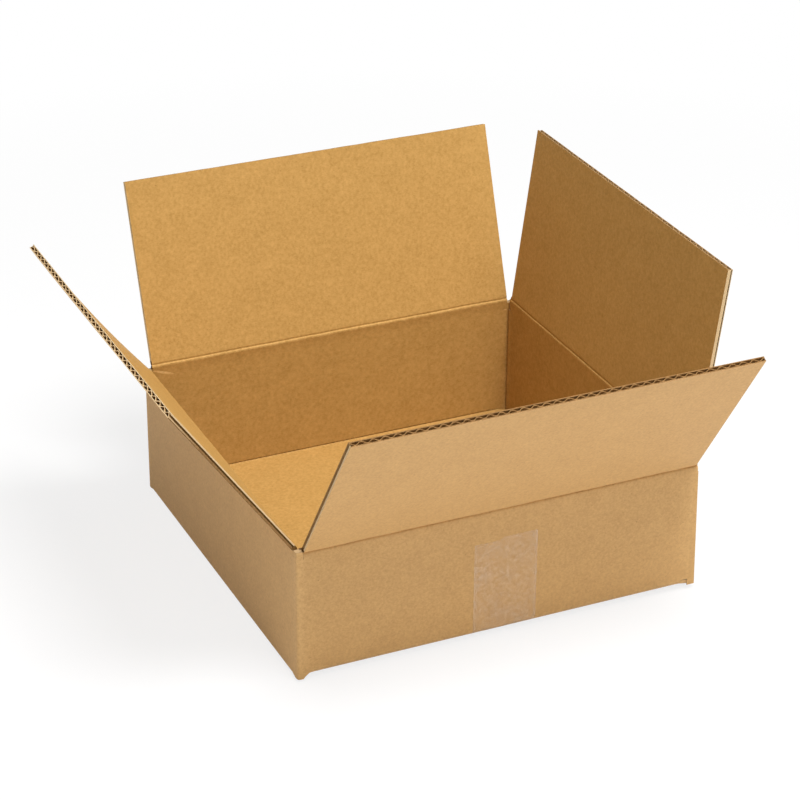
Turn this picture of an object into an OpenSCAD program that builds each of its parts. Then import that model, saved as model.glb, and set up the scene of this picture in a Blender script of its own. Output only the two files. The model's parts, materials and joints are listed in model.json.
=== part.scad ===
// Shallow slotted carton of single-wall corrugated board, erected and taped below, its four top flaps open.
// Millimetres. +X right along the front, +Y to the back, +Z up. The origin is on the ground under the middle.

/* [Carton] */
// Outside width across the front
box_w = 305; // [200:1:450]
// Outside depth from front to back
box_d = 295; // [200:1:450]
// Height of the front and back top folds above the ground
fold_h = 100; // [60:0.5:200]

/* [Board] */
// Thickness of the corrugated board
board_t = 3.8; // [3:0.1:5]
// Thickness of each flat liner
liner_t = 0.4; // [0.3:0.05:0.6]
// Thickness of the wavy medium between the liners
medium_t = 0.35; // [0.25:0.05:0.5]
// Length of one flute
flute_pitch = 7.9; // [6:0.1:10]
// Inside radius of a folded corner
bend_r = 0.5; // [0.3:0.1:1.5]

/* [Flaps] */
// Gap left between facing flaps when they are closed, across the shorter side
flap_gap = 9; // [2:0.5:20]
// How far a flap's side stands clear of the inside of the wall next to it
slot_clear = 1.2; // [0.8:0.1:6]
// How far past its fold the crushed board runs before the flutes open out
crush_len = 6; // [4:0.5:15]
// Lean of the front flap, outward from upright
front_lean = 33.5; // [-60:0.5:120]
// Lean of the back flap, outward from upright
back_lean = 19; // [-60:0.5:120]
// Lean of the left flap, outward from upright
left_lean = 36.5; // [-60:0.5:120]
// Lean of the right flap, outward from upright
right_lean = 7.5; // [-60:0.5:120]
// Furthest that a flap turns back, outward from upright
turn_back = 130; // [100:1:145]
// Running gap round a flap's fold
fold_clear = 0.3; // [0.2:0.05:0.6]
// Gap between flaps that lie on each other
layer_gap = 0.15; // [0.1:0.05:0.5]
// Height at which the bottom slots stop, leaving a nub at each corner
nub_z = 1; // [0.5:0.1:3]

/* [Glued lap] */
// Width of the lap glued inside the front wall, at its right end
lap_w = 32; // [20:1:45]
// Thickness of the pressed lap
lap_t = 2.4; // [1.5:0.1:4]
// How far the lap's ends slope over its width
lap_slope = 8; // [2:1:15]
// Set-back of the lap from the top fold and from the floor
lap_set = 3; // [2:0.5:10]
// Depth of the joint line beside the raw edge of the front wall
joint_line = 0.8; // [0.3:0.1:1.5]

/* [Seam tape] */
// Width of the tape over the bottom seam
tape_w = 48; // [36:1:72]
// Thickness of the tape
tape_t = 0.2; // [0.1:0.05:0.4]
// How far below the front and back folds the tape's ends stop
tape_drop = 22; // [10:1:50]
// How far the tape lies to the right of the seam
tape_x = 2; // [-10:0.5:10]

/* [Hidden] */
half_w = box_w / 2;
half_d = box_d / 2;
half_t = board_t / 2;
// The outer flaps fold one board higher, so that they close over the inner ones
outer_fold_h = fold_h + board_t + layer_gap;
// All eight flaps are cut to one length, measured from the middle of the fold
flap_len = (min(box_w, box_d) - board_t - flap_gap) / 2;
// A flap's side is set in from the carton's outer corner by a board and its clearance
slot_in = board_t + slot_clear;
inner_flap_w = box_w - 2 * slot_in;
outer_flap_w = box_d - 2 * slot_in;
// Outside radius of a folded corner
corner_r = bend_r + board_t;
// The outer bottom flaps lie on the tape, and the inner ones on them
outer_bottom_z = tape_t;
inner_bottom_z = outer_bottom_z + board_t + layer_gap;
floor_z = inner_bottom_z + board_t;
// Depth of a wall's rim below its fold line
rim_drop = half_t + fold_clear;
inner_rim_z = fold_h - rim_drop;
outer_rim_z = outer_fold_h - rim_drop;
core_t = board_t - 2 * liner_t;
wave_h = (core_t - medium_t) / 2;
// Share of a flute at which the medium leaves and rejoins the liner, and the steps between
glue_share = 0.1;
wave_step = 0.2;
// Flat facets in the tape's turn round the bottom fold
tape_steps = 4;
// Facets of a full circle
$fn = 48;
// Overshoot of cutting shapes
over = 1;
kraft = [0.78, 0.62, 0.40];
clear_tape = [0.82, 0.70, 0.52];

// One hollow of the corrugated section, between the medium and the liner on its +Y side
module flute_cell(pitch) {
    shares = [for (f = glue_share; f < 1; f = f + wave_step) f];
    wave = [for (f = shares) [(f - 0.5) * pitch, wave_h * cos(360 * f) + medium_t / 2]];
    rim = [[(0.5 - glue_share) * pitch, core_t / 2], [(glue_share - 0.5) * pitch, core_t / 2]];
    polygon(concat(wave, rim));
}

// Every hollow across a board of the given width. Both sides are cut down the middle of a flute.
module flute_cells(width) {
    count = round(width / flute_pitch);
    pitch = width / count;
    for (k = [0 : count])
        translate([k * pitch - width / 2, 0]) flute_cell(pitch);
    for (k = [0 : count - 1])
        translate([(k + 0.5) * pitch - width / 2, 0]) mirror([0, 1]) flute_cell(pitch);
}

// A flap upright on its fold: X runs along the fold, -Y is the outer face
module flap_board(width) {
    difference() {
        union() {
            translate([-width / 2, -half_t, 0]) cube([width, board_t, flap_len]);
            translate([-width / 2, 0, 0]) rotate([0, 90, 0]) cylinder(d = board_t, h = width);
        }
        translate([0, 0, crush_len]) linear_extrude(flap_len) flute_cells(width);
    }
}

// Places a flap on a wall: turn faces it to its wall, reach is from the middle to the fold
module hung_flap(width, turn, reach, height, lean) {
    color(kraft)
        rotate([0, 0, turn]) translate([0, -reach, height]) rotate([lean, 0, 0]) flap_board(width);
}

module front_flap() {
    hung_flap(inner_flap_w, 0, half_d - half_t, fold_h, front_lean);
}

module back_flap() {
    hung_flap(inner_flap_w, 180, half_d - half_t, fold_h, back_lean);
}

module left_flap() {
    hung_flap(outer_flap_w, -90, half_w - half_t, outer_fold_h, left_lean);
}

module right_flap() {
    hung_flap(outer_flap_w, 90, half_w - half_t, outer_fold_h, right_lean);
}

// Rectangle with round corners of the given radius
module round_sheet(w, d, r) {
    square([w - 2 * r, d], center = true);
    square([w, d - 2 * r], center = true);
    for (x = [-1, 1], y = [-1, 1])
        translate([x * (w / 2 - r), y * (d / 2 - r)]) circle(r);
}

// Plan of the walls: the front wall ends in a raw square edge at the right, where the sheet is joined
module wall_plan() {
    difference() {
        union() {
            round_sheet(box_w, box_d, corner_r);
            translate([half_w - corner_r, -half_d]) square(corner_r);
        }
        round_sheet(box_w - 2 * board_t, box_d - 2 * board_t, bend_r);
        translate([half_w, board_t - half_d]) rotate(45) square(joint_line * sqrt(2), center = true);
    }
}

// Carries a section (X inward from the wall's outer face, Y up) along the wall that turn faces
module along_wall(turn, reach, width) {
    rotate([0, 0, turn]) translate([-width / 2, -reach, 0]) rotate([90, 0, 90])
        linear_extrude(width) children();
}

// Space above a wall's rim: flat inside, and sloped outside to let a flap turn right back.
// The slope runs parallel to the turned-back flap's lower face, a running gap away from it.
module rim_space(height) {
    flat_x = rim_drop * (sin(turn_back) - 1) / cos(turn_back);
    slope_end = -(rim_drop - cos(turn_back) * (half_t + over)) / sin(turn_back);
    translate([half_t, height])
        polygon([
            [-half_t - over, slope_end],
            [flat_x, -rim_drop],
            [half_t + over, -rim_drop],
            [half_t + over, 2 * board_t],
            [-half_t - over, 2 * board_t]
        ]);
}

// Space below a wall, down from where its bottom fold starts to turn
module foot_space(low) {
    translate([-over, -over]) square([board_t + 2 * over, low + corner_r + over]);
}

// Section of a bottom flap with its fold, its lower face at the given height
module bottom_section(low) {
    intersection() {
        translate([corner_r, low + corner_r]) difference() {
            circle(corner_r);
            circle(bend_r);
        }
        translate([0, low]) square(corner_r);
    }
    translate([corner_r, low]) square([half_t + flap_len - corner_r, board_t]);
}

// Walls with their rims and feet cut for the folds. What is left at the corners makes the posts and nubs.
module walls() {
    rim_side = 2 * fold_clear;
    difference() {
        translate([0, 0, nub_z]) linear_extrude(outer_rim_z - nub_z) wall_plan();
        for (turn = [0, 180]) {
            along_wall(turn, half_d, inner_flap_w + rim_side) rim_space(fold_h);
            along_wall(turn, half_d, inner_flap_w) foot_space(inner_bottom_z);
        }
        for (turn = [90, -90]) {
            along_wall(turn, half_w, outer_flap_w + rim_side) rim_space(outer_fold_h);
            along_wall(turn, half_w, outer_flap_w) foot_space(outer_bottom_z);
        }
    }
}

// Lap that closes the sheet into a sleeve, glued inside the front wall at its right end
module glue_lap() {
    low = floor_z + lap_set;
    high = inner_rim_z - lap_set;
    translate([half_w - board_t, board_t - half_d + lap_t, 0]) rotate([90, 0, 0])
        linear_extrude(half_t + lap_t)
            polygon([
                [half_t, low],
                [half_t, high],
                [0, high],
                [-lap_w, high - lap_slope],
                [-lap_w, low + lap_slope],
                [0, low]
            ]);
}

module carton_body() {
    color(kraft) {
        walls();
        glue_lap();
        for (turn = [0, 180])
            along_wall(turn, half_d, inner_flap_w) bottom_section(inner_bottom_z);
        for (turn = [90, -90])
            along_wall(turn, half_w, outer_flap_w) bottom_section(outer_bottom_z);
    }
}

// Half of the tape's path in section, from its top end to the outer flap's lower edge, offset outward.
// It leaves the wall round the bottom fold and bridges straight down to the outer flaps.
function tape_half(offset_by) =
    let (
        centre = [corner_r, inner_bottom_z + corner_r],
        edge = [slot_in, outer_bottom_z],
        span = centre - edge,
        rise = atan2(span[1], span[0]) + asin(corner_r / norm(span)),
        step = (rise - 90) / tape_steps,
        radius = (corner_r + offset_by) / cos(step / 2),
        mitre = [-offset_by * tan((180 - rise) / 2), -offset_by]
    )
    concat(
        [[-offset_by, fold_h - tape_drop]],
        [for (k = [0.5 : tape_steps]) centre + radius * [cos(180 + k * step), sin(180 + k * step)]],
        [edge + mitre]
    );

// The whole path, from the end on the front wall to the end on the back wall
function tape_path(offset_by) =
    let (half = tape_half(offset_by))
    concat(half, [for (k = [len(half) - 1 : -1 : 0]) [box_d - half[k][0], half[k][1]]]);

module seam_tape() {
    inner = tape_path(0);
    outer = tape_path(tape_t);
    color(clear_tape) translate([tape_x, 0, 0])
        along_wall(0, half_d, tape_w)
            polygon(concat(inner, [for (k = [len(outer) - 1 : -1 : 0]) outer[k]]));
}

carton_body();
front_flap();
back_flap();
left_flap();
right_flap();
seam_tape();
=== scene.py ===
"""Looks of a shallow corrugated carton with its top flaps open: fluted board, creased folds and seam tape.

Lengths are in millimetres until a piece's mesh is written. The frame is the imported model's own:
+X right along the front, +Y to the back, +Z up, with the origin on the ground under the middle.
"""

import json
import math
from typing import NamedTuple

import bmesh
import bpy
from mathutils import Matrix, Vector, noise


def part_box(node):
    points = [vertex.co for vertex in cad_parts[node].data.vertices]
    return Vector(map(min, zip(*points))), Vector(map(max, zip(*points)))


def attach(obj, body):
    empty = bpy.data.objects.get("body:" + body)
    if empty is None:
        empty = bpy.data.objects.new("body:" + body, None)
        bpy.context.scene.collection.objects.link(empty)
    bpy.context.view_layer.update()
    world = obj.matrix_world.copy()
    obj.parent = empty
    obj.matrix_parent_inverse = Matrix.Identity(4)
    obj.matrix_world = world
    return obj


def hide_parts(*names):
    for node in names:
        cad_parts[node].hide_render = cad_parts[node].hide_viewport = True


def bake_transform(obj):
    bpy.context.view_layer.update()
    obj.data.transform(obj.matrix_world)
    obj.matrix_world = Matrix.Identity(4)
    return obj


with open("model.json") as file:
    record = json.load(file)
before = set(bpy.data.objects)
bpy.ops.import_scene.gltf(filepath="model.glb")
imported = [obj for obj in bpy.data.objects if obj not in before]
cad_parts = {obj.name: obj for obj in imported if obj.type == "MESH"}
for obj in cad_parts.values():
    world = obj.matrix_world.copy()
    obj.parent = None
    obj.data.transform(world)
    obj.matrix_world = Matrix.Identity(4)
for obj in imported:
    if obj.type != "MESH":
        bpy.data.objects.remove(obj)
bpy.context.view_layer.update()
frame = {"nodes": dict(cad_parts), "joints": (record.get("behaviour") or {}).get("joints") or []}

MM = 0.001
UP = Vector((0, 0, 1))

# Board. Its liners and medium are drawn thick, because their cut edges fray.
LINER_T = 0.65
MEDIUM_T = 0.65
FLUTE = 7.9
# Spacing of the mesh along the liners and along the medium, and points along one flute
LINER_STEP = 12.0
MEDIUM_STEP = 36.0
WAVE_POINTS = 14
# How far the crests of the flutes stray, along the board as a share of a flute and in height, and how often
CREST_STRAY = 0.10
STRAY_SCALE = 9.0
CREST_SWELL = 0.06
SWELL_SCALE = 21.0
# How far a cut end wanders and how often, and how far the medium lies behind the liners there
CUT_JITTER = 0.18
JITTER_SCALE = 2.3
MEDIUM_SET = 0.15
# Width of the frayed band beside a cut, which takes the cut's tone of painted light and shade
EDGE_FRAY = 0.4
# Thickness of what closes a cut side, and the depth of a slit flute's floor, which is painted dark for the
# shade down the open flute
SIDE_SKIN = 0.35
SLIT_DEPTH = 0.9

# Upright corners: inside radius, how sharply the outer face turns, and steps round the bend
BEND_R = 0.5
CORNER_POWER = 4.5
CORNER_STEPS = 12
# The inner liner there: height, place and width of the bulge beside the bend, and the depth of its crease
BULGE_H = 0.45
BULGE_AT = 2.2
BULGE_W = 1.3
CORNER_CREASE = 0.8
# How far wear spreads from a corner, and its share inside
CORNER_WEAR = 2.5
INNER_WEAR = 0.6
# Mesh of the walls: distances of columns from a corner, and spacing of the other columns and of the levels
CORNER_OFFSETS = (0, 1, 2, 3, 4.5, 7)
WALL_STEP = 14.0
LEVEL_STEP = 9.0

# Heights of the carton's levels
OUTER_BOTTOM_Z = 0.2
LAYER_GAP = 0.15
NUB_Z = 2.0
RAW_LOW = 3.4
TUBE_TOP = 95.0
RAW_TOP = 99.4
POST_TOP = 100.6

# Corner posts and nubs: gap beside a flap, and how far a nub runs on past a flap's side
POST_CLEAR = 0.1
NUB_SKIRT = 7.0
# Rise of a nub's lower edge under the outer flaps, and its end and curve under the inner ones
NUB_RISE = 1.0
NUB_END = 0.2
NUB_CURVE = 0.8
BLOCK_STEP = 0.6
BLOCK_WEAR = 0.3

# Bottom folds: set-in of the outer flaps' sides, sag of the inner ones' ends, and depth of the crease
FOOT_INSET = 3.5
FOOT_DROOP = 1.0
DROOP_SPAN = 4.0
FOOT_GROOVE = 1.1
FOOT_STEPS = 8
FOOT_RISE_STEP = 2.0
FOOT_OFFSETS = (0, 1, 2, 3.5, 5.5, 8, 12)
# Places of the bottom folds and flaps on the blank
FOOT_BLANK = -8.0
BOTTOM_BLANK = -200.0

# Top folds: run of the strip past its crease, distances of its rows from it, and where its dents end
FOLD_RUN = 3.8
FOLD_OFFSETS = (0.2, 0.4, 0.7, 1.0, 1.4, 1.9, 2.5)
DENT_END = 2.6
FOLD_STEP = 3.0
SLEEVE_INSET = 0.05
# Where the bend ends, past the crease
BLEND_ABOVE = 2.4
# Outside of a fold: depth and width of its sharp crease and of the hollow round it
CREASE_H = 1.15
CREASE_W = 0.6
HOLLOW_H = 0.2
HOLLOW_W = 1.8
# Inside of a fold: depth, place and width of the groove, and place and width of the roll below it
GROOVE_H = 0.6
GROOVE_AT = 0.9
GROOVE_W = 0.6
ROLL_AT = -1.2
ROLL_W = 1.3
# Place and width of the worn band along a crease
WORN_AT = -0.6
WORN_W = 1.2
# How far a crease wanders, and its long and short waves
CREASE_WANDER = 0.3
WANDER_LONG = 23.0
WANDER_SHORT = 6.0
# Length over which a flap's end is stretched or drawn in, and how fast a bow fades towards the far end
REACH_SPAN = 15.0
BOW_FADE = 3

# A pale rub inside the back wall, under the left end of its crease: place, half size and slope in degrees
RUB_PLACE = (139.0, 97.0)
RUB_HALF = (10.5, 1.3)
RUB_SLOPE = 18.8

# Glued lap: width, thickness, slope of its ends, set-back from the folds and gap to the wall
LAP_W = 32.0
LAP_T = 2.4
LAP_SLOPE = 8.0
LAP_SET = 3.0
LAP_GAP = 0.02
LAP_STEPS = 8
LAP_WEAR = 0.2
# Raw edge of the front wall: width of its strip, skew of its foot, and the height share that keeps its place
RAW_STRIP = 4.8
RAW_SKEW = 2.4
RAW_TURN = 0.45
STUB_WEAR = 0.5

# Tape: thickness, lift off the board and spacing of its mesh on the walls, below and across
TAPE_FILM = 0.06
TAPE_LIFT = 0.03
TAPE_STEP = 4.0
TAPE_LOW_STEP = 12.0
TAPE_CROSS_STEP = 1.0
TAPE_TURN_STEPS = 6
# Teeth of its ends, and the torn part: its drop and the share of the width over which it starts
TOOTH_H = 0.45
TOOTH_W = 2.0
TORN_DROP = 2.0
TORN_SPAN = (0.40, 0.46)
# Height of its unevenness, and size of that across, up and front to back
TAPE_PUFF = 0.012
PUFF_SCALE = (7.0, 9.0, 90.0)

# Seeds of the noise on each board, steps from them for its layers, and how seeds are set apart in the noise
RAW_SEED = 11
BOTTOM_SEED = 21
MEDIUM_SEED = 3
STRAY_SEED = 5
SWELL_SEED = 6
SEED_STEP = 7.31
NOISE_SLICE = 0.5

# Angle in degrees up to which edges are smooth, on boards and on folds
SMOOTH_DEG = 40
FOLD_SMOOTH_DEG = 70

# Camera in metres and degrees, as fitted to the photograph: turned about a point above the carton's middle
CAMERA_FOCUS = Vector((0, 0, 0.1))
CAMERA_AZIMUTH = -24.75
CAMERA_ELEVATION = 27.22
CAMERA_ROLL = 0.47
CAMERA_AWAY = 1.898
CAMERA_ASIDE = -0.0097
CAMERA_ABOVE = 0.01125
CAMERA_LENS = 118.46
CAMERA_SENSOR = 36

# Soft round lights: name, place in metres and watts
LIGHT_AIM = Vector((0, 0, 0.1))
LIGHT_SIZE = 0.8
LIGHTS = (
    ("front", (0.0, -1.2, 1.0), 4.1),
    ("over", (0.1, -0.55, 1.7), 32.0),
    ("over_right", (0.5, -0.5, 1.6), 8.6),
    ("top", (0.1, 0.0, 1.6), 3.0),
    ("left_back", (-1.3, 0.7, 0.7), 3.6),
)
AMBIENT = 0.15

# Floor in metres: half its side, grey, and share of pure white near the box and beyond the fade
FLOOR_REACH = 8.0
FLOOR_GREY = 0.85
FLOOR_ROUGH = 0.9
FLOOR_FADE = (0.5, 1.0)
FLOOR_WHITE = (0.8, 1.0)


class Cut(NamedTuple):
    """How a board's cuts look: wrap is the share of its two sides that the inner liner turns over.

    Where wrap is negative, the outer liner does. The tones are painted light and shade on the cut paper, set
    flap by flap to how light falls there, from 0 for shaded to 1 for lit, bleached paper.
    """
    wrap: tuple = (0.3, 0.3)
    edge: float = 0.3
    inner_side: float = 0.4
    outer_side: float = 0.4


class Fold(NamedTuple):
    """How a top flap and its fold differ from plain ones. Along the fold, the near end comes first."""

    # How far the crease is drawn below the hinge, and how far below the crease its bend starts
    crease_drop: float = 0.0
    blend_below: float = 1.8
    # Height of the roll inside, just below the crease
    roll: float = 0.2
    # How far the flap and its fold run on at the far end, or fall short
    flap_reach: float = 0.0
    fold_reach: float = 0.0
    # How far the flap's middle bows outward at the near end
    bow: float = 0.0


# Each flap's cut edges get painted light and shade: the front flap's edge is shaded dark, the left flap's is
# lit pale.
CUTS = {
    "front": Cut((-0.36, 1.0), 0.0, 0.1, 0.9),
    "back": Cut((1.0, 1.0), 0.3, 0.95, 0.95),
    "left": Cut((0.15, 0.25), 0.65, 0.75, 0.0),
    "right": Cut((1.0, 0.5), 0.1, 0.75, 0.6),
}
FOLDS = {
    "front": Fold(flap_reach=1.1, fold_reach=3.3),
    "back": Fold(crease_drop=-3.2, blend_below=4.2, roll=0.25),
    "left": Fold(crease_drop=4.0, bow=3.2),
    "right": Fold(roll=0.08, flap_reach=-3.5, fold_reach=-0.8),
}
# The walls in the order of the blank, which starts at the lap and ends at the raw edge
BLANK_ORDER = ("right", "back", "left", "front")
# Walls whose flaps lie inside the others', at the top and at the bottom
INNER_PAIR = ("front", "back")


class Wall:
    """One wall and its top flap. Along runs with the fold, out is away from the box, zero is mid-board."""

    def __init__(self, joint):
        self.body = joint["child"]
        self.name = self.body.replace("_flap", "")
        self.look = FOLDS[self.name]
        self.inner_pair = self.name in INNER_PAIR
        self.along = Vector(joint["axis"])
        self.out = self.along.cross(UP)
        hinge = Vector(joint["pos_m"]) / MM
        self.reach = hinge.dot(self.out)
        lean = math.radians(-joint["range_deg"][0] - 90)
        low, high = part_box(self.body)
        self.flap_w = abs((high - low).dot(self.along)) / MM
        run = self.out * math.sin(lean) + UP * math.cos(lean)
        mesh = frame["nodes"][self.body].data
        self.flap_len = max((v.co / MM - hinge).dot(run) for v in mesh.vertices)
        low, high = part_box("carton_body")
        self.half_len = abs((high - low).dot(self.along)) / MM / 2
        self.board_t = 2 * (abs((high - low).dot(self.out)) / MM / 2 - self.reach)
        # The crease is drawn a little off the hinge, and the flap runs from it to the same free edge
        aside = self.flap_len * math.sin(lean)
        rise = self.flap_len * math.cos(lean) + self.look.crease_drop
        self.crease = hinge.z - self.look.crease_drop
        self.bend = math.atan2(aside, rise)
        self.run = math.hypot(aside, rise)

    def at(self, along, out, up):
        return self.along * along + self.out * (self.reach + out) + UP * up

    def on_flap(self, along, thick, run):
        """A point of the flap: thick outward from mid-board, run from the crease."""
        c, s = math.cos(self.bend), math.sin(self.bend)
        share = run / self.run
        fade = 1 - (0.5 + along / self.flap_w) ** BOW_FADE
        thick += self.look.bow * fade * 4 * share * (1 - share)
        return self.at(along, run * s + thick * c, self.crease + run * c - thick * s)


WALLS = {wall.name: wall for wall in map(Wall, frame["joints"])}
BOARD_T = WALLS["front"].board_t
HALF_T = BOARD_T / 2
# Mid-board to the inner face of a liner
CORE = HALF_T - LINER_T
CORNER_R = BEND_R + BOARD_T
MID_R = CORNER_R - HALF_T
INNER_BOTTOM_Z = OUTER_BOTTOM_Z + BOARD_T + LAYER_GAP
FLOOR_Z = INNER_BOTTOM_Z + BOARD_T
TUBE_LOW = INNER_BOTTOM_Z + CORNER_R

# Places of the board's materials in BOARD_MATERIALS
KRAFT_OUT, KRAFT_IN, FLUTE_IN, CUT_EDGE, SLIT_PAINTED_SHADE = range(5)
WALL_MATS = (KRAFT_OUT, KRAFT_IN, CUT_EDGE)


def wander(x, scale, seed):
    """Smooth seeded noise from -1 to 1 along a length."""
    return noise.noise(Vector((x / scale, seed * SEED_STEP, NOISE_SLICE)))


def hump(x, at, width):
    """A smooth bump of height 1 at a place."""
    return math.exp(-(((x - at) / width) ** 2))


def spread(low, high, step):
    """Even values from low to high, about a step apart."""
    count = max(1, round(abs(high - low) / step))
    return [low + (high - low) * k / count for k in range(count + 1)]


def blank_start(wall):
    """Where a wall's middle lies along the flat blank."""
    before = BLANK_ORDER[:BLANK_ORDER.index(wall.name)]
    return LAP_W + sum(2 * WALLS[name].half_len for name in before) + wall.half_len


class Piece:
    """Collects one piece's points and faces, each point with its place on the flat blank and its wear, which
    on cut edges and the tape's gap span is painted light and shade.
    """

    def __init__(self, name):
        self.name = name
        self.points, self.blank, self.wear = [], [], []
        self.faces, self.face_mats = [], []

    def add(self, point, blank, wear):
        self.points.append(point)
        self.blank.append(blank)
        self.wear.append(wear)
        return len(self.points) - 1

    def face(self, corners, mat):
        self.faces.append(corners)
        self.face_mats.append(mat)

    def slab(self, outer, inner, mats):
        """A closed sheet between two grids of (point, blank, wear). mats are for outer, inner and rim."""
        top = [[self.add(*cell) for cell in row] for row in outer]
        low = [[self.add(*cell) for cell in row] for row in inner]
        rows, cols = len(top), len(top[0])
        for i in range(rows - 1):
            for j in range(cols - 1):
                self.face((top[i][j], top[i + 1][j], top[i + 1][j + 1], top[i][j + 1]), mats[0])
                self.face((low[i][j], low[i][j + 1], low[i + 1][j + 1], low[i + 1][j]), mats[1])
        loop = [(i, 0) for i in range(rows)]
        loop += [(rows - 1, j) for j in range(1, cols)]
        loop += [(i, cols - 1) for i in range(rows - 2, -1, -1)]
        loop += [(0, j) for j in range(cols - 2, 0, -1)]
        for (a, b), (c, d) in zip(loop, loop[1:] + loop[:1]):
            self.face((top[a][b], low[a][b], low[c][d], top[c][d]), mats[2])

    def build(self, materials, smooth_deg=SMOOTH_DEG):
        """Writes the mesh in metres and returns its object."""
        mesh = bpy.data.meshes.new(self.name)
        mesh.from_pydata([p * MM for p in self.points], [], self.faces)
        for material in materials:
            mesh.materials.append(material)
        mesh.polygons.foreach_set("material_index", self.face_mats)
        layer = mesh.uv_layers.new(name="blank")
        for loop in mesh.loops:
            s, v = self.blank[loop.vertex_index]
            layer.data[loop.index].uv = (s * MM, v * MM)
        wear = mesh.attributes.new("wear", "FLOAT", "POINT")
        wear.data.foreach_set("value", self.wear)
        bm = bmesh.new()
        bm.from_mesh(mesh)
        bmesh.ops.recalc_face_normals(bm, faces=bm.faces)
        bm.to_mesh(mesh)
        bm.free()
        mesh.shade_smooth()
        mesh.set_sharp_from_angle(angle=math.radians(smooth_deg))
        mesh.update()
        obj = bpy.data.objects.new(self.name, mesh)
        bpy.context.scene.collection.objects.link(obj)
        return obj


class Board:
    """Fluted board. place(along, thick, run) gives a point, and the flutes run from start to a cut end."""

    def __init__(self, place, half_w, start, end, blank, seed, cut=Cut()):
        self.place = place
        self.half_w = half_w
        self.start = start
        self.end = end
        self.blank = blank
        self.seed = seed
        self.cut = cut
        self.pitch = 2 * half_w / max(1, round(2 * half_w / FLUTE))
        # Rows of the medium and of what closes the sides
        self.rows = spread(start + MEDIUM_SET, end, MEDIUM_STEP)

    def cell(self, along, thick, run, wear):
        return self.place(along, thick, run), (self.blank[0] + along, self.blank[1] + run), wear

    def ragged(self, along, run, layer):
        """A run whose cut end wanders, differently for each layer."""
        if run < self.end:
            return run
        return run + CUT_JITTER * wander(along, JITTER_SCALE, self.seed + layer)

    def fray_and_painted_light(self, along, run, beside):
        """How pale a point is, from fraying and painted light and shade: at the cut end, beside a cut side,
        or not at all.
        """
        if run >= self.end:
            return self.cut.edge
        return beside if abs(along) >= self.half_w else 0.0

    def add_to(self, piece):
        self.add_liner(piece, 1, KRAFT_OUT, self.cut.outer_side)
        self.add_liner(piece, -1, KRAFT_IN, self.cut.inner_side)
        self.add_medium(piece)
        for side, share in zip((-1, 1), self.cut.wrap):
            self.add_side(piece, side, share)

    def add_liner(self, piece, side, face, beside):
        """The flat outer or inner liner."""
        frayed_w = self.half_w - EDGE_FRAY
        alongs = [-self.half_w] + spread(-frayed_w, frayed_w, LINER_STEP) + [self.half_w]
        runs = spread(self.start, self.end - EDGE_FRAY, LINER_STEP) + [self.end]

        def column(along, thick):
            return [self.cell(along, thick, self.ragged(along, run, side), self.fray_and_painted_light(along, run, beside))
                    for run in runs]

        outer = [column(along, side * HALF_T) for along in alongs]
        inner = [column(along, side * CORE) for along in alongs]
        piece.slab(outer, inner, (face, FLUTE_IN, CUT_EDGE))

    def add_medium(self, piece):
        """The wavy medium between the liners. Both sides are cut at a crest."""
        height = CORE - MEDIUM_T / 2
        waves = spread(-self.half_w, self.half_w, self.pitch / WAVE_POINTS)

        def column(along, offset):
            stray = CREST_STRAY * wander(along, STRAY_SCALE, self.seed + STRAY_SEED)
            swell = 1 + CREST_SWELL * wander(along, SWELL_SCALE, self.seed + SWELL_SEED)
            level = height * math.sin(2 * math.pi * (along / self.pitch + 0.25 + stray)) * swell
            thick = max(-height, min(height, level)) + offset
            return [self.cell(along, thick, self.ragged(along, run, MEDIUM_SEED) - MEDIUM_SET,
                              self.fray_and_painted_light(along, run, 0.0)) for run in self.rows]

        outer = [column(along, MEDIUM_T / 2) for along in waves]
        inner = [column(along, -MEDIUM_T / 2) for along in waves]
        piece.slab(outer, inner, (FLUTE_IN, FLUTE_IN, CUT_EDGE))

    def add_side(self, piece, side, share):
        """A cut side: pale where a liner turns over it, and elsewhere open to the floor of a slit flute,
        which is painted dark as shade.
        """
        facing = -1 if share < 0 else 1
        tone = self.cut.outer_side if share < 0 else self.cut.inner_side
        edge = max(-CORE, min(CORE, abs(share) * BOARD_T - HALF_T))
        for near, far, depth, mat in ((-CORE, edge, 0.0, CUT_EDGE), (edge, CORE, SLIT_DEPTH, SLIT_PAINTED_SHADE)):
            if near == far:
                continue
            skin = self.half_w - depth
            levels = (facing * near, facing * far)
            outer = self.strip(side * skin, levels, tone)
            inner = self.strip(side * (skin - SIDE_SKIN), levels, tone)
            piece.slab(outer, inner, (mat, mat, mat))

    def strip(self, along, levels, tone):
        """Rows of points up a side, at one place along the board."""
        return [[self.cell(along, level, run - MEDIUM_SET, tone) for level in levels] for run in self.rows]


def arc_between(a, b):
    """Points, outward normals and outer bulges round the corner from wall a's far end to wall b's near end.

    The bulge makes the outer face turn more sharply than a round bend does.
    """
    centre = a.at(a.half_len - CORNER_R, -MID_R, 0)
    arc = []
    for k in range(CORNER_STEPS + 1):
        turn = math.pi / 2 * k / CORNER_STEPS
        c, s = math.cos(turn), math.sin(turn)
        normal = a.out * c + b.out * s
        reach = (c ** CORNER_POWER + s ** CORNER_POWER) ** (-1 / CORNER_POWER)
        arc.append((centre + normal * MID_R, normal, CORNER_R * (reach - 1)))
    return arc


def corner_bulge(distance):
    """How far the inner liner bulges at a distance from an upright corner's bend."""
    return BULGE_H * hump(distance, BULGE_AT, BULGE_W)


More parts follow.
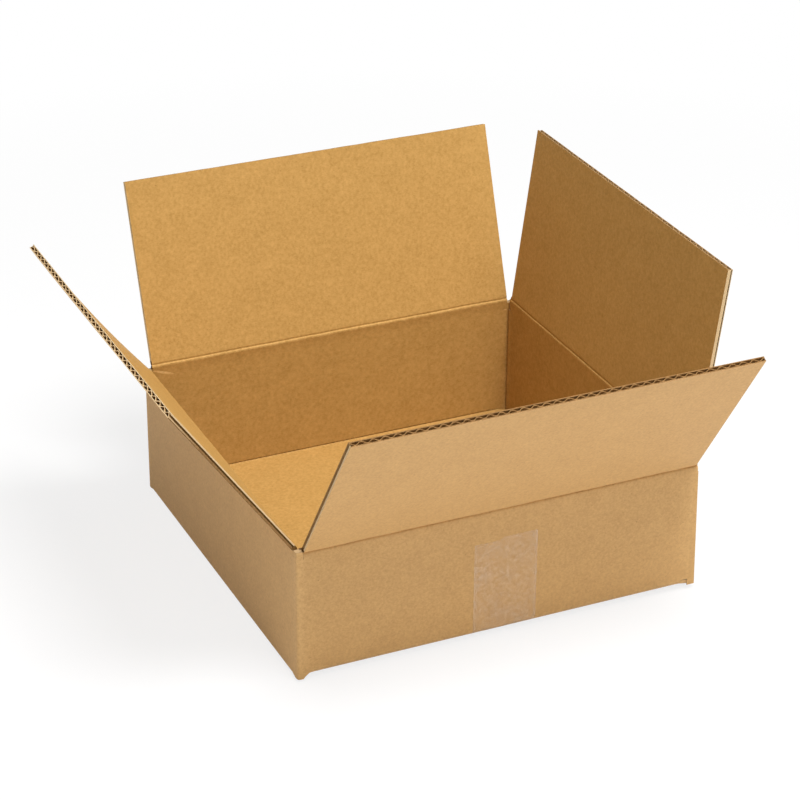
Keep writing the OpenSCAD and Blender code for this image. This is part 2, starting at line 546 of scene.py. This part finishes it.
def wall_columns(wall, first, last, far_bends):
    """Columns of one wall as (mid-board point, out, place on the blank, outer bulge, inner bulge, wear)."""
    near = [first + d for d in CORNER_OFFSETS]
    far = [last - d for d in reversed(CORNER_OFFSETS)]
    columns = []
    for along in near + spread(near[-1], far[0], WALL_STEP)[1:-1] + far:
        inner = corner_bulge(along - first) + (corner_bulge(last - along) if far_bends else 0)
        wear = math.exp(-min(along - first, last - along) / CORNER_WEAR)
        columns.append((wall.at(along, 0, 0), wall.out, blank_start(wall) + along, 0.0, inner, wear))
    return columns


def corner_columns(a, b):
    """Columns round the bend between two walls, in the same form."""
    start = blank_start(a) + a.half_len - CORNER_R
    columns = []
    for step, (point, normal, bulge) in list(enumerate(arc_between(a, b)))[1:-1]:
        share = step / CORNER_STEPS
        crease = -CORNER_CREASE * math.sin(math.pi * share)
        columns.append((point, normal, start + 2 * CORNER_R * share, bulge, crease, 1.0))
    return columns


def tube_columns():
    """Columns round the walls, from the right wall's start to near the front wall's raw end."""
    walls = [WALLS[name] for name in BLANK_ORDER]
    columns = []
    for wall, following in zip(walls, walls[1:] + [None]):
        first = (CORNER_R if columns else BOARD_T) - wall.half_len
        last = wall.half_len - (CORNER_R if following else RAW_STRIP)
        columns += wall_columns(wall, first, last, following)
        if following:
            columns += corner_columns(wall, following)
    return columns


def walls_piece():
    """The four walls with their corner posts, nubs, bottom folds, bottom flaps and glued lap."""
    piece = Piece("carton_walls")
    columns = tube_columns()
    levels = spread(TUBE_LOW, TUBE_TOP, LEVEL_STEP)
    outer = [[(p + out * (HALF_T + bulge) + UP * z, (s, z), wear) for z in levels]
             for p, out, s, bulge, inner_bulge, wear in columns]
    inner = [[(p - out * (HALF_T + inner_bulge) + UP * z, (s, z), wear * INNER_WEAR) for z in levels]
             for p, out, s, bulge, inner_bulge, wear in columns]
    piece.slab(outer, inner, WALL_MATS)
    walls = [WALLS[name] for name in BLANK_ORDER]
    for a, b in zip(walls, walls[1:]):
        corner_block(piece, a, b, TUBE_TOP, post_top, -POST_CLEAR)
        corner_block(piece, a, b, TUBE_LOW, nub_bottom, NUB_SKIRT)
    raw_end(piece)
    for wall in WALLS.values():
        bottom_flap(piece, wall)
    glue_lap(piece)
    return piece


def post_top(wall, past):
    """Upper edge of a corner post, in the same form as nub_bottom."""
    return POST_TOP


def nub_bottom(wall, past):
    """Lower edge of a corner nub: past is the share of the way from the corner to the nub's end."""
    if wall.inner_pair:
        return NUB_Z + (TUBE_LOW - NUB_END - NUB_Z) * past ** NUB_CURVE
    return NUB_Z + NUB_RISE * past


def corner_block(piece, a, b, level, edge, skirt):
    """The board round a corner between two flaps, from a level of the tube to its cut edge.

    A skirt carries it past the sides of the flaps.
    """
    columns = []

    def span(wall):
        past = skirt if wall.inner_pair else min(skirt, FOOT_INSET)
        return wall.half_len - CORNER_R, wall.flap_w / 2 - past

    far, near = span(a)
    for along in spread(near, far, BLOCK_STEP):
        cut = edge(a, (far - along) / (far - near))
        columns.append((a.at(along, 0, 0), a.out, blank_start(a) + along, 0.0, cut))
    for point, normal, bulge in arc_between(a, b)[1:-1]:
        cut = min(edge(a, 0), edge(b, 0))
        columns.append((point, normal, blank_start(a) + a.half_len, bulge, cut))
    far, near = span(b)
    for along in spread(-far, -near, BLOCK_STEP):
        cut = edge(b, (along + far) / (far - near))
        columns.append((b.at(along, 0, 0), b.out, blank_start(b) + along, 0.0, cut))
    outer = [[(p + out * (HALF_T + bulge) + UP * z, (s, z), BLOCK_WEAR) for z in (level, cut)]
             for p, out, s, bulge, cut in columns]
    inner = [[(p - out * HALF_T + UP * z, (s, z), BLOCK_WEAR) for z in (level, cut)]
             for p, out, s, bulge, cut in columns]
    piece.slab(outer, inner, WALL_MATS)


def raw_end(piece):
    """The last of the front wall, whose raw edge shows a slit flute, with the right wall's post and nub."""
    front, right = WALLS["front"], WALLS["right"]
    middle = front.half_len - RAW_STRIP / 2

    def place(along, thick, run):
        skew = RAW_SKEW * (RAW_TURN - run / TUBE_TOP) * (0.5 + along / RAW_STRIP)
        return front.at(middle + along + skew, thick, run)

    blank = (blank_start(front) + middle, 0)
    Board(place, RAW_STRIP / 2, RAW_LOW, TUBE_TOP, blank, RAW_SEED).add_to(piece)

    def stub_face(levels, inset, thick, wear):
        ends = (BOARD_T - right.half_len, inset - right.flap_w / 2)
        return [[(right.at(along, thick, z), (LAP_W, z), wear) for z in levels] for along in ends]

    for levels, inset in (((TUBE_TOP, RAW_TOP), -POST_CLEAR), ((RAW_LOW, TUBE_LOW), FOOT_INSET)):
        outer = stub_face(levels, inset, HALF_T, STUB_WEAR)
        inner = stub_face(levels, inset, -HALF_T, BLOCK_WEAR)
        piece.slab(outer, inner, WALL_MATS)


def foot_path(low):
    """A bottom fold's path in section from the tube: (out, up, normal out, normal up, bent, grooved)."""
    centre_out, centre_up = HALF_T - CORNER_R, low + CORNER_R
    path = []
    if TUBE_LOW > centre_up:
        path += [(0.0, z, 1.0, 0.0, 0.0, 0.0) for z in spread(TUBE_LOW, centre_up, FOOT_RISE_STEP)]
    for k in range(1 if path else 0, FOOT_STEPS + 1):
        turn = math.pi / (2 * FOOT_STEPS) * k
        c, s = math.cos(turn), math.sin(turn)
        path.append((centre_out + MID_R * c, centre_up - MID_R * s, c, -s, 1.0, math.sin(2 * turn)))
    path.append((centre_out - FOLD_RUN, low + HALF_T, 0.0, -1.0, 0.0, 0.0))
    return path


def bottom_flap(piece, wall):
    """A bottom fold from the tube's lower end, and the fluted flap beyond it."""
    low = INNER_BOTTOM_Z if wall.inner_pair else OUTER_BOTTOM_Z
    half_w = wall.flap_w / 2 - (0 if wall.inner_pair else FOOT_INSET)
    middle = blank_start(wall)
    path = foot_path(low)
    plain_w = half_w - FOOT_OFFSETS[-1]
    alongs = [d - half_w for d in FOOT_OFFSETS]
    alongs += spread(-plain_w, plain_w, WALL_STEP)[1:-1]
    alongs += [half_w - d for d in reversed(FOOT_OFFSETS)]

    def droop(along, bent):
        """How far an inner flap's fold sags towards the nubs at its ends."""
        return FOOT_DROOP * bent * hump(half_w - abs(along), 0, DROOP_SPAN) if wall.inner_pair else 0.0

    def column(along, side, groove):
        cells = []
        for out, up, normal_out, normal_up, bent, grooved in path:
            off = side * (HALF_T - groove * grooved)
            point = wall.at(along, out + normal_out * off, up + normal_up * off - droop(along, bent))
            cells.append((point, (middle + along, up + FOOT_BLANK), bent))
        return cells

    outer = [column(along, 1, 0.0) for along in alongs]
    inner = [column(along, -1, FOOT_GROOVE) for along in alongs]
    piece.slab(outer, inner, WALL_MATS)

    def place(along, thick, run):
        return wall.at(along, -run, low + HALF_T - thick)

    start = FOLD_RUN + CORNER_R - HALF_T
    Board(place, half_w, start, wall.flap_len, (middle, BOTTOM_BLANK), BOTTOM_SEED + low).add_to(piece)


def glue_lap(piece):
    """The pressed lap inside the front wall's right end."""
    front = WALLS["front"]
    low, high = FLOOR_Z + LAP_SET, TUBE_TOP - LAP_SET
    root = front.half_len - HALF_T
    shares = [k / LAP_STEPS for k in range(LAP_STEPS + 1)]

    def column(share, out):
        along = root - (HALF_T + LAP_W) * share
        slope = LAP_SLOPE * max(0.0, share - HALF_T / (HALF_T + LAP_W))
        levels = [low + slope + (high - low - 2 * slope) * rise for rise in shares]
        return [(front.at(along, out, z), (root - along, z), LAP_WEAR) for z in levels]

    outer = [column(share, -HALF_T - LAP_GAP) for share in shares]
    inner = [column(share, -HALF_T - LAP_T) for share in shares]
    piece.slab(outer, inner, WALL_MATS)


def reached(wall, along, extra):
    """A place along a flap, moved on near its far end by up to the extra length."""
    return along + extra * max(0.0, 1 - (wall.flap_w / 2 - along) / REACH_SPAN)


def flap_piece(wall, seed):
    """A top flap of fluted board, from the end of its fold strip to its free edge."""
    piece = Piece(wall.name + "_flap_board")

    def place(along, thick, run):
        return wall.on_flap(reached(wall, along, wall.look.flap_reach), thick, run)

    blank = (blank_start(wall), wall.crease)
    Board(place, wall.flap_w / 2, FOLD_RUN, wall.run, blank, seed, CUTS[wall.name]).add_to(piece)
    return piece


def fold_dent(wall, side, q):
    """Depth of a fold's face below its board's, q from the crease. side is 1 outside and -1 inside."""
    if side > 0:
        return CREASE_H * math.exp(-abs(q) / CREASE_W) + HOLLOW_H * hump(q, 0, HOLLOW_W)
    return GROOVE_H * hump(q, GROOVE_AT, GROOVE_W) - wall.look.roll * hump(q, ROLL_AT, ROLL_W)


def fold_profile(wall, seed, along, side):
    """Points up one face of a fold. The crease lies where the faces of the wall and the flap meet."""
    tilt = HALF_T * math.tan(wall.bend / 2)
    crease_up = wall.crease - side * tilt
    foot = TUBE_TOP - crease_up
    shift = wander(along, WANDER_LONG, seed) + 0.5 * wander(along, WANDER_SHORT, seed + 1)
    shift *= CREASE_WANDER
    flap_reach, fold_reach = wall.look.flap_reach, wall.look.fold_reach
    cells = []

    def add(point, q):
        blank = (blank_start(wall) + along, crease_up + q)
        cells.append((point, blank, hump(q, WORN_AT, WORN_W)))

    for q in [foot] + [-d for d in reversed(FOLD_OFFSETS)] + [0.0]:
        dent = fold_dent(wall, side, q + shift) if q > foot else 0.0
        add(wall.at(reached(wall, along, fold_reach), side * (HALF_T - dent), crease_up + q), q)
    for q in list(FOLD_OFFSETS) + [FOLD_RUN - side * tilt]:
        dent = fold_dent(wall, side, q + shift) if q < DENT_END else 0.0
        run = side * tilt + q
        extra = fold_reach + (flap_reach - fold_reach) * min(1.0, run / FOLD_RUN)
        add(wall.on_flap(reached(wall, along, extra), side * (HALF_T - dent), run), q)
    return cells


def fold_piece(wall, seed):
    """The creased strip between a wall and its flap."""
    piece = Piece(wall.name + "_fold")
    half_w = wall.flap_w / 2 - SLEEVE_INSET
    alongs = spread(-half_w, half_w, FOLD_STEP)
    outer = [fold_profile(wall, seed, along, 1) for along in alongs]
    inner = [fold_profile(wall, seed, along, -1) for along in alongs]
    # The fold's ends take the painted shade of a slit flute.
    piece.slab(outer, inner, (KRAFT_OUT, KRAFT_IN, SLIT_PAINTED_SHADE))
    return piece


def tape_half_path():
    """Half of the tape's path in section as (inward from the outer face, up, normal in, normal up)."""
    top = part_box("seam_tape")[1].z / MM
    centre = Vector((CORNER_R, INNER_BOTTOM_Z + CORNER_R))
    slot_in = WALLS["left"].half_len - WALLS["left"].flap_w / 2
    edge = Vector((slot_in + FOOT_INSET, OUTER_BOTTOM_Z))
    span = centre - edge
    rise = math.atan2(span.y, span.x) + math.asin(CORNER_R / span.length)
    path = [(0.0, z, -1.0, 0.0) for z in spread(top, centre.y, TAPE_STEP)]
    for k in range(1, TAPE_TURN_STEPS + 1):
        turn = math.pi + (rise - math.pi / 2) * k / TAPE_TURN_STEPS
        c, s = math.cos(turn), math.sin(turn)
        path.append((centre.x + CORNER_R * c, centre.y + CORNER_R * s, c, s))
    path.append((edge.x, edge.y, 0.0, -1.0))
    return path


def tape_path():
    """The tape's whole path from front to back, in the same form with the length along it added."""
    half = tape_half_path()
    depth = 2 * WALLS["left"].half_len
    edge = half[-1][0]
    path = list(half)
    path += [(i, OUTER_BOTTOM_Z, 0.0, -1.0) for i in spread(edge, depth - edge, TAPE_LOW_STEP)[1:-1]]
    path += [(depth - i, z, -normal_in, normal_up) for i, z, normal_in, normal_up in reversed(half)]
    length = 0.0
    rows = []
    for before, here in zip(path[:1] + path, path):
        length += math.hypot(here[0] - before[0], here[1] - before[1])
        rows.append((*here, length))
    return rows


def tape_piece():
    """Clear tape over the bottom seam, up the front and back walls, with a serrated end on each."""
    piece = Piece("seam_tape_film")
    low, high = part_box("seam_tape")
    x_0, x_1 = low.x / MM, high.x / MM
    torn_from, torn_to = (x_0 + (x_1 - x_0) * share for share in TORN_SPAN)
    half_d = WALLS["left"].half_len
    seam = WALLS["left"].reach - WALLS["left"].flap_len
    rows = tape_path()

    def puff(x, z, i):
        """How far the film stands off a wall, as it is not quite flat."""
        if z <= TUBE_LOW:
            return 0.0
        across, up, inward = PUFF_SCALE
        return TAPE_PUFF * max(0.0, noise.noise(Vector((x / across, z / up, i / inward))))

    def column(x, lift):
        torn = max(0.0, min(1.0, (torn_to - x) / (torn_to - torn_from)))
        tooth = TOOTH_H * 2 * abs(((x - x_0) / TOOTH_W) % 1 - 0.5) + TORN_DROP * torn
        cells = []
        for k, (i, z, normal_in, normal_up, length) in enumerate(rows):
            off = lift + puff(x, z, i)
            drop = tooth if k in (0, len(rows) - 1) else 0.0
            point = Vector((x, i - half_d + normal_in * off, z + normal_up * off - drop))
            # The span over the gap in the bottom is marked for haze and painted shade.
            loose_haze_and_painted_shade = normal_up == -1.0 and abs(x) < seam
            cells.append((point, (x, length), 1.0 if loose_haze_and_painted_shade else 0.0))
        return cells

    xs = spread(x_0, x_1, TAPE_CROSS_STEP)
    outer = [column(x, TAPE_LIFT + TAPE_FILM) for x in xs]
    inner = [column(x, TAPE_LIFT) for x in xs]
    piece.slab(outer, inner, (0, 0, 0))
    return piece


class Nodes:
    """A small helper to write a material's nodes by value."""

    def __init__(self, name):
        self.material = bpy.data.materials.new(name)
        self.material.use_nodes = True
        self.tree = self.material.node_tree
        self.shader = self.tree.nodes["Principled BSDF"]

    def node(self, kind, settings=None, **inputs):
        made = self.tree.nodes.new(kind)
        for key, value in (settings or {}).items():
            setattr(made, key, value)
        for key, value in inputs.items():
            self.put(made.inputs[key.replace("_", " ")], value)
        return made

    def put(self, socket, value):
        if isinstance(value, bpy.types.NodeSocket):
            self.tree.links.new(value, socket)
        else:
            socket.default_value = value

    def shade(self, name, value):
        self.put(self.shader.inputs[name], value)

    def place(self):
        return self.node("ShaderNodeTexCoord").outputs["Object"]

    def blank(self):
        return self.node("ShaderNodeUVMap", {"uv_map": "blank"}).outputs["UV"]

    def wear(self):
        return self.node("ShaderNodeAttribute", {"attribute_name": "wear"}).outputs["Fac"]

    def noise(self, vector, scale, detail=3.0, rough=0.55):
        made = self.node("ShaderNodeTexNoise", Vector=vector, Scale=scale, Detail=detail, Roughness=rough)
        return made.outputs["Fac"]

    def ramp(self, value, low, high, to_low=0.0, to_high=1.0):
        made = self.node("ShaderNodeMapRange", {"clamp": True}, Value=value, From_Min=low, From_Max=high,
                         To_Min=to_low, To_Max=to_high)
        return made.outputs["Result"]

    def math(self, operation, a, b):
        made = self.node("ShaderNodeMath", {"operation": operation})
        self.put(made.inputs[0], a)
        self.put(made.inputs[1], b)
        return made.outputs["Value"]

    def length(self, vector):
        made = self.node("ShaderNodeVectorMath", {"operation": "LENGTH"})
        self.put(made.inputs[0], vector)
        return made.outputs["Value"]

    def weigh(self, *parts):
        """The sum of (value, weight) pairs."""
        total = None
        for value, weight in parts:
            part = self.math("MULTIPLY", value, weight)
            total = part if total is None else self.math("ADD", total, part)
        return total

    def mix(self, share, a, b):
        made = self.node("ShaderNodeMix", {"data_type": "RGBA"})
        self.put(made.inputs["Factor"], share)
        self.put(made.inputs[6], a)
        self.put(made.inputs[7], b)
        return made.outputs[2]

    def bump(self, height, strength, distance):
        made = self.node("ShaderNodeBump", Strength=strength, Distance=distance, Height=height)
        self.shade("Normal", made.outputs["Normal"])


def seen_share(tree):
    """One for rays that show the background: camera, glossy and transmission rays."""
    path = tree.nodes.new("ShaderNodeLightPath")
    total = path.outputs["Is Camera Ray"]
    for name in ("Is Glossy Ray", "Is Transmission Ray"):
        top = tree.nodes.new("ShaderNodeMath")
        top.operation = "MAXIMUM"
        tree.links.new(total, top.inputs[0])
        tree.links.new(path.outputs[name], top.inputs[1])
        total = top.outputs["Value"]
    return total


def rgb(red, green, blue):
    """An sRGB colour of 0 to 255 as a linear one."""
    def linear(value):
        value /= 255
        return value / 12.92 if value <= 0.04045 else ((value + 0.055) / 1.055) ** 2.4
    return (linear(red), linear(green), linear(blue), 1.0)


class Liner(NamedTuple):
    """Colours of a kraft liner, its gloss, the scale of its mottling and a rub's place on the blank."""
    dark: tuple
    light: tuple
    fleck: tuple
    worn: tuple
    gloss: float
    grain: float
    rub: tuple = None


def kraft(name, look):
    """Kraft liner: cloudy formation, fibres along the blank, dark flecks, worn folds and faint flutes."""
    n = Nodes(name)
    place = n.place()
    blank = n.blank()
    along = n.node("ShaderNodeMapping", Vector=blank, Scale=(520.0, 1500.0, 1.0)).outputs["Vector"]
    cloud = n.noise(place, scale=60.0)
    mottle = n.noise(place, scale=look.grain, rough=0.6)
    fibre = n.noise(along, scale=1.0, detail=4.0, rough=0.65)
    speck = n.noise(place, scale=620.0, detail=1.0)
    tone = n.weigh((mottle, 0.5), (fibre, 0.4), (cloud, 0.14))
    colour = n.mix(n.ramp(tone, 0.27, 0.77), look.dark, look.light)
    flecks = n.math("MULTIPLY", n.ramp(speck, 0.74, 0.80), 0.4)
    colour = n.mix(flecks, colour, look.fleck)
    worn_share = n.math("MULTIPLY", n.wear(), n.ramp(mottle, 0.25, 0.75))
    colour = n.mix(n.math("MULTIPLY", worn_share, 0.25), colour, look.worn)
    if look.rub:
        colour = n.mix(rub_mark(n, blank, fibre, look.rub), colour, look.worn)
    n.shade("Base Color", colour)
    n.shade("Roughness", n.ramp(fibre, -0.6, 1.1, to_low=0.52, to_high=0.70))
    n.shade("Specular IOR Level", look.gloss)
    # The wave texture repeats every 2 pi / 20 at a scale of 1
    flutes = n.node("ShaderNodeTexWave", {"wave_type": "BANDS", "bands_direction": "X"}, Vector=blank,
                    Scale=2 * math.pi / (FLUTE * MM) / 20, Distortion=0.0)
    height = n.weigh((fibre, 0.5), (mottle, 0.5), (flutes.outputs["Fac"], 0.12))
    n.bump(height, strength=0.25, distance=0.0002)
    return n.material


def rub_mark(n, blank, fibre, place):
    """Share of a slanting oval rub on the blank, broken up by the fibres."""
    half_long, half_wide = RUB_HALF
    spot = n.node("ShaderNodeMapping", {"vector_type": "TEXTURE"}, Vector=blank, Location=place,
                  Rotation=(0.0, 0.0, math.radians(RUB_SLOPE)), Scale=(half_long * MM, half_wide * MM, 1.0))
    inside = n.ramp(n.length(spot.outputs["Vector"]), 1.0, 0.35)
    return n.math("MULTIPLY", inside, n.ramp(fibre, 0.2, 0.6))


def plain_paper(name, dark, light, scale, pale=None):
    """Rougher paper without liner detail, for flute hollows and cut edges, which can be made paler by wear
    and by painted light.
    """
    n = Nodes(name)
    grain = n.noise(n.place(), scale, detail=4.0, rough=0.65)
    colour = n.mix(n.ramp(grain, 0.3, 0.7), dark, light)
    if pale:
        colour = n.mix(n.wear(), colour, pale)
    n.shade("Base Color", colour)
    n.shade("Roughness", 0.95)
    n.shade("Specular IOR Level", 0.1)
    n.bump(grain, strength=0.4, distance=0.0002)
    return n.material


def clear_film(name):
    """Clear tape: a faint milky film, milkier at its edges, and over the gap in the bottom seam hazy and
    painted kraft brown as the shade under the box.
    """
    n = Nodes(name)
    place = n.place()
    patch = n.noise(place, scale=70.0)
    grain = n.noise(place, scale=560.0, rough=0.6)
    grain_share = n.ramp(grain, 0.3, 0.7)
    low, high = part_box("seam_tape")
    centre, half_w = (low.x + high.x) / 2, (high.x - low.x) / 2
    across = n.node("ShaderNodeSeparateXYZ", Vector=n.blank()).outputs["X"]
    aside = n.math("ABSOLUTE", n.math("SUBTRACT", across, centre), 0.0)
    rim = n.ramp(aside, half_w - 0.0028, half_w)
    loose_haze_and_painted_shade = n.wear()
    milk = n.weigh((n.ramp(patch, 0.45, 0.68), 0.06), (rim, 0.08), (grain_share, 0.06), (loose_haze_and_painted_shade, 0.75))
    film = n.mix(grain_share, rgb(228, 194, 160), rgb(255, 244, 224))
    # Where the film spans the gap in the bottom it turns near opaque kraft brown, painted shade for the
    # floor under the box.
    n.shade("Base Color", n.mix(loose_haze_and_painted_shade, film, rgb(204, 166, 112)))
    n.shade("Alpha", n.math("ADD", milk, 0.05))
    n.shade("Roughness", n.ramp(grain, -1.0, 2.0))
    n.shade("Specular IOR Level", 0.5)
    n.bump(grain, strength=0.12, distance=0.0001)
    return n.material


OUTER_LINER = Liner(
    dark=rgb(179, 137, 81),
    light=rgb(217, 173, 112),
    fleck=rgb(120, 84, 44),
    worn=rgb(224, 184, 128),
    gloss=0.4,
    grain=540.0,
)
# The inner liner is darker and more saturated than the outer one: its colour paints in some of the shade
# inside the box.
INNER_LINER = Liner(
    dark=rgb(150, 113, 55),
    light=rgb(195, 153, 90),
    fleck=rgb(112, 79, 37),
    worn=rgb(224, 184, 122),
    gloss=0.12,
    grain=400.0,
    rub=((blank_start(WALLS["back"]) + RUB_PLACE[0]) * MM, RUB_PLACE[1] * MM, 0.0),
)
BOARD_MATERIALS = [
    kraft("kraft_outer_liner", OUTER_LINER),
    kraft("kraft_inner_liner", INNER_LINER),
    plain_paper("flute_hollow", rgb(142, 110, 68), rgb(178, 142, 94), 600.0),
    # Cut paper: its darker colours are the shaded end and the pale one is the lit end of the painted light
    # and shade on cut edges, mixed with wear.
    plain_paper("cut_edge", rgb(112, 82, 48), rgb(150, 114, 72), 900.0, rgb(228, 200, 156)),
    # Painted shade: the floor of a slit flute and the ends of the folds are darker than the medium, for the
    # shade down an open flute.
    plain_paper("slit_flute", rgb(84, 60, 30), rgb(124, 92, 52), 700.0),
]
TAPE_MATERIALS = [clear_film("clear_tape_film")]


def dress():
    """Builds every piece and hangs the walls, flaps and tape on their bodies; the folds stay unparented."""
    walls = walls_piece().build(BOARD_MATERIALS)
    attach(walls, "carton")
    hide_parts("carton_body")
    for seed, wall in enumerate(WALLS.values(), 1):
        flap = flap_piece(wall, seed).build(BOARD_MATERIALS)
        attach(flap, wall.body)
        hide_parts(wall.body)
        fold = fold_piece(wall, seed).build(BOARD_MATERIALS, FOLD_SMOOTH_DEG)
        start = wall.at(0, 0, wall.crease - wall.look.blend_below) * MM
        end = wall.on_flap(0, 0, BLEND_ABOVE) * MM
        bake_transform(fold)
    tape = tape_piece().build(TAPE_MATERIALS)
    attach(tape, "carton")
    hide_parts("seam_tape")


def make_camera():
    """The camera at the photograph's viewing angle and perspective."""
    azimuth, elevation = math.radians(CAMERA_AZIMUTH), math.radians(CAMERA_ELEVATION)
    roll = math.radians(CAMERA_ROLL)
    level = Vector((math.sin(azimuth), -math.cos(azimuth), 0))
    back = level * math.cos(elevation) + UP * math.sin(elevation)
    right = (-back).cross(UP).normalized()
    up = right.cross(-back)
    turned_right = right * math.cos(roll) + up * math.sin(roll)
    turned_up = up * math.cos(roll) - right * math.sin(roll)
    data = bpy.data.cameras.new("camera")
    data.sensor_width = CAMERA_SENSOR
    data.lens = CAMERA_LENS
    camera = bpy.data.objects.new("camera", data)
    camera.matrix_world = Matrix((turned_right, turned_up, back)).transposed().to_4x4()
    camera.location = CAMERA_FOCUS + back * CAMERA_AWAY + right * CAMERA_ASIDE + up * CAMERA_ABOVE
    bpy.context.scene.collection.objects.link(camera)
    bpy.context.scene.camera = camera


def make_light(name, place, watts):
    """A soft round light aimed at the carton."""
    data = bpy.data.lights.new(name, "AREA")
    data.shape = "DISK"
    data.size = LIGHT_SIZE
    data.energy = watts
    light = bpy.data.objects.new(name, data)
    light.location = place
    light.rotation_mode = "QUATERNION"
    light.rotation_quaternion = (LIGHT_AIM - Vector(place)).to_track_quat("-Z", "Y")
    bpy.context.scene.collection.objects.link(light)


def make_surround():
    """A surround that looks pure white and lights the box softly."""
    world = bpy.data.worlds.new("surround")
    world.use_nodes = True
    bpy.context.scene.world = world
    tree = world.node_tree
    glow = tree.nodes["Background"]
    glow.inputs["Color"].default_value = (1.0, 1.0, 1.0, 1.0)
    strength = tree.nodes.new("ShaderNodeMapRange")
    strength.inputs["To Min"].default_value = AMBIENT
    tree.links.new(seen_share(tree), strength.inputs["Value"])
    tree.links.new(strength.outputs["Result"], glow.inputs["Strength"])


def floor_paper():
    """White paper that keeps the box's shadow and grows to pure white away from it."""
    n = Nodes("white_floor")
    n.shade("Base Color", (FLOOR_GREY, FLOOR_GREY, FLOOR_GREY, 1.0))
    n.shade("Roughness", FLOOR_ROUGH)
    white_share = n.ramp(n.length(n.place()), *FLOOR_FADE, *FLOOR_WHITE)
    mixed = n.node("ShaderNodeMixShader", Fac=n.math("MULTIPLY", seen_share(n.tree), white_share))
    n.put(mixed.inputs[1], n.shader.outputs["BSDF"])
    n.put(mixed.inputs[2], n.node("ShaderNodeEmission").outputs["Emission"])
    n.put(n.tree.nodes["Material Output"].inputs["Surface"], mixed.outputs["Shader"])
    return n.material


def make_floor():
    """A plain pale floor."""
    corners = ((-1, -1), (1, -1), (1, 1), (-1, 1))
    mesh = bpy.data.meshes.new("floor")
    mesh.from_pydata([(x * FLOOR_REACH, y * FLOOR_REACH, 0) for x, y in corners], [], [(0, 1, 2, 3)])
    mesh.materials.append(floor_paper())
    floor = bpy.data.objects.new("floor", mesh)
    bpy.context.scene.collection.objects.link(floor)


bpy.context.scene.view_settings.view_transform = "Standard"
make_camera()
make_surround()
make_floor()
for light in LIGHTS:
    make_light(*light)
dress()
